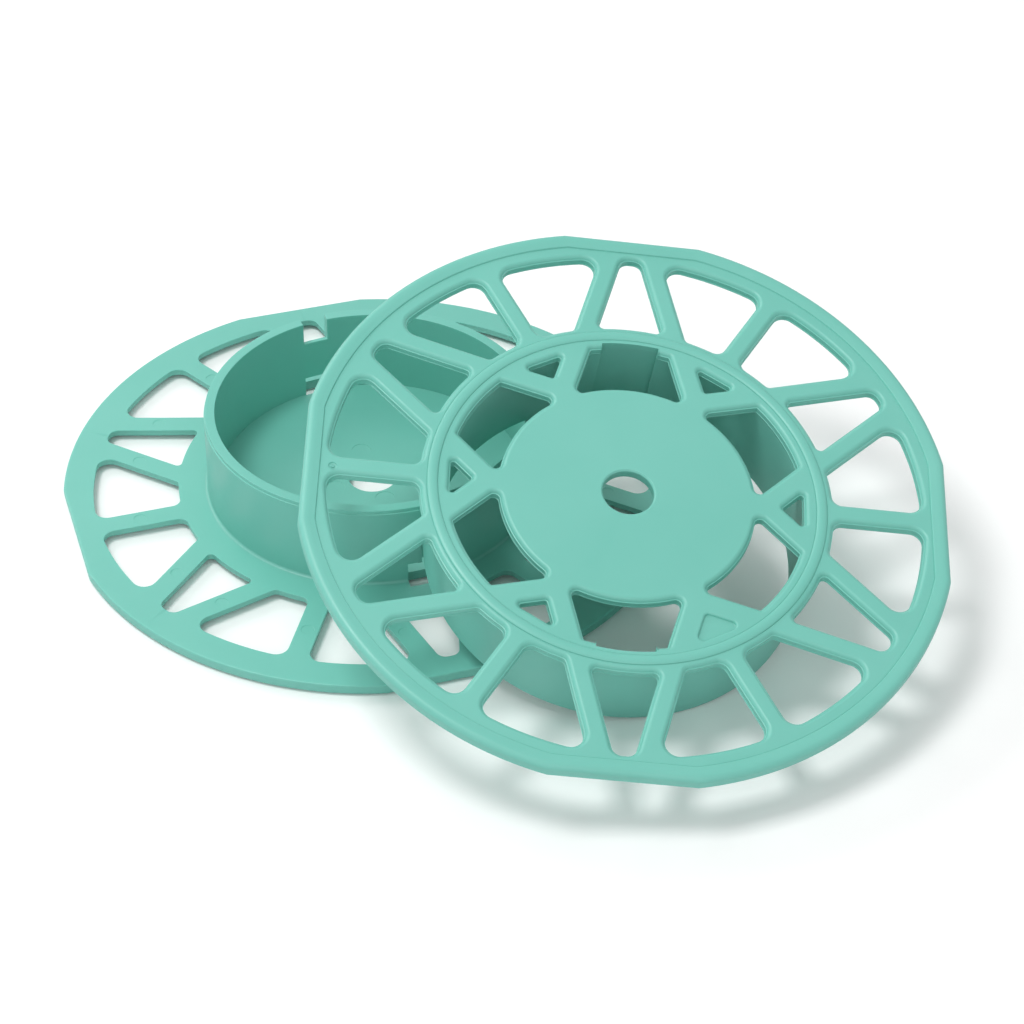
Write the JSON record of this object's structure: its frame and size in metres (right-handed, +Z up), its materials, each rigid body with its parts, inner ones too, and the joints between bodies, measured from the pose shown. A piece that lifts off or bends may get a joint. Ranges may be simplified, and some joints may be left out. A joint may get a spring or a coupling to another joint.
{
  "type": "wire spool",
  "caption": "Wire spool in two loose mouldings: a spoked flange with the inner drum lies flat, and the spoked cover flange with its outer drum leans on it.",
  "frame": {"origin": "on the arbor axis of the half that lies flat, at its flange's inner face, 4.3 mm above the ground", "axes": "+Z up, along the arbor axis of the half that lies flat; -Y towards the side on which the other half leans; +X to the right of it"},
  "size_m": [0.2595, 0.2803, 0.0799],
  "materials": {
    "drum_half": "satin moulded",
    "cover_half": "satin moulded"
  },
  "bodies": {
    "drum_half": {"drum_half": "drum_half"},
    "cover_half": {"cover_half": "cover_half"}
  },
  "joints": [
    {"name": "cover_lift", "type": "slide", "parent": "drum_half", "child": "cover_half", "axis": [0, 0, 1], "range_m": [0, 0.06]}
  ]
}
